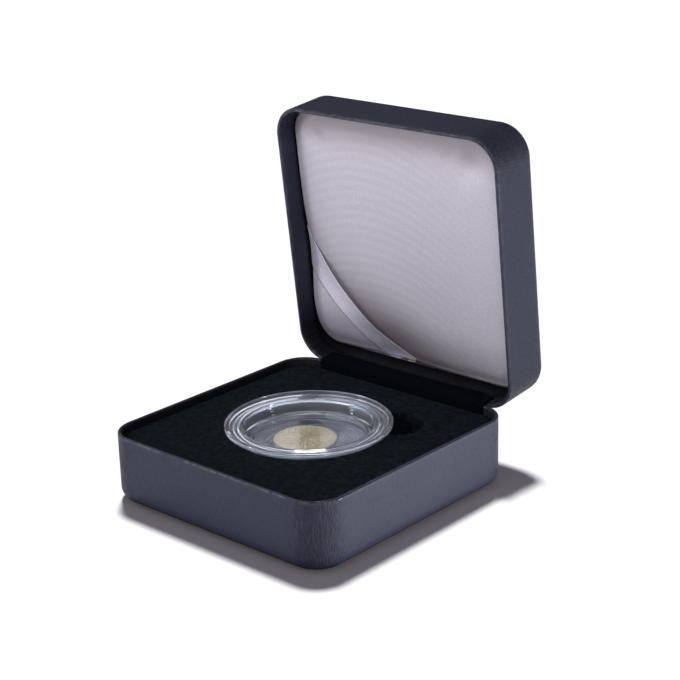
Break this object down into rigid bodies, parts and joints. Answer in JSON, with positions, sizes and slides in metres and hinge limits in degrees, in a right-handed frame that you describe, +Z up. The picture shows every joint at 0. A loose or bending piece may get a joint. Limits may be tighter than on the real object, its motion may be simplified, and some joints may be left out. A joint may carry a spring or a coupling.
{
  "type": "coin display case",
  "caption": "Square leatherette presentation case with a sprung hinged lid, velvet insert, satin lining with a ribbon, and a round clear capsule that holds a coin.",
  "frame": {"origin": "centre of the flat underside that the case stands on", "axes": "+Z up, +Y back towards the hinge, +X to the right along the hinge pin, seen from the front"},
  "size_m": [0.1, 0.1214, 0.1252],
  "materials": {
    "leatherette": "satin",
    "hinge_leatherette": "matte",
    "sheet_steel": "matte",
    "insert_board": "matte",
    "velvet": "matte",
    "hinge_steel": "satin",
    "spring_steel": "satin",
    "wadding": "matte",
    "satin": "satin",
    "ribbon_satin": "satin",
    "clear_plastic": "polished",
    "coin_alloy": "satin"
  },
  "bodies": {
    "base": {"base_shell": "sheet_steel", "base_cover": "leatherette", "insert_block": "insert_board", "insert_velvet": "velvet", "hinge_base_leaf": "hinge_steel", "hinge_base_rivets": "hinge_steel", "hinge_pin": "hinge_steel", "snap_spring_left": "spring_steel", "snap_spring_right": "spring_steel", "hinge_strip": "hinge_leatherette"},
    "lid": {"lid_shell": "sheet_steel", "lid_cover": "leatherette", "lid_spacer": "insert_board", "lid_board": "insert_board", "lid_foam": "wadding", "lid_satin": "satin", "lid_ribbon": "ribbon_satin", "hinge_lid_leaf": "hinge_steel", "hinge_lid_rivets": "hinge_steel"},
    "capsule": {"capsule_base": "clear_plastic"},
    "capsule_top": {"capsule_lid": "clear_plastic"},
    "coin": {"coin": "coin_alloy"}
  },
  "joints": [
    {"name": "lid_hinge", "type": "hinge", "parent": "base", "child": "lid", "pos_m": [0, 0.04936, 0.02445], "axis": [1, 0, 0], "range_deg": [0, 83.8], "deforming": ["hinge_strip", "snap_spring_left", "snap_spring_right"]},
    {"name": "capsule_lift", "type": "slide", "parent": "base", "child": "capsule", "axis": [0, 0, 1], "range_m": [0, 0.003]},
    {"name": "capsule_lid_lift", "type": "slide", "parent": "capsule", "child": "capsule_top", "axis": [0, 0, 1], "range_m": [0, 0.0034]},
    {"name": "coin_slide", "type": "slide", "parent": "capsule", "child": "coin", "axis": [1, 0, 0], "range_m": [-0.01, 0.014]}
  ]
}
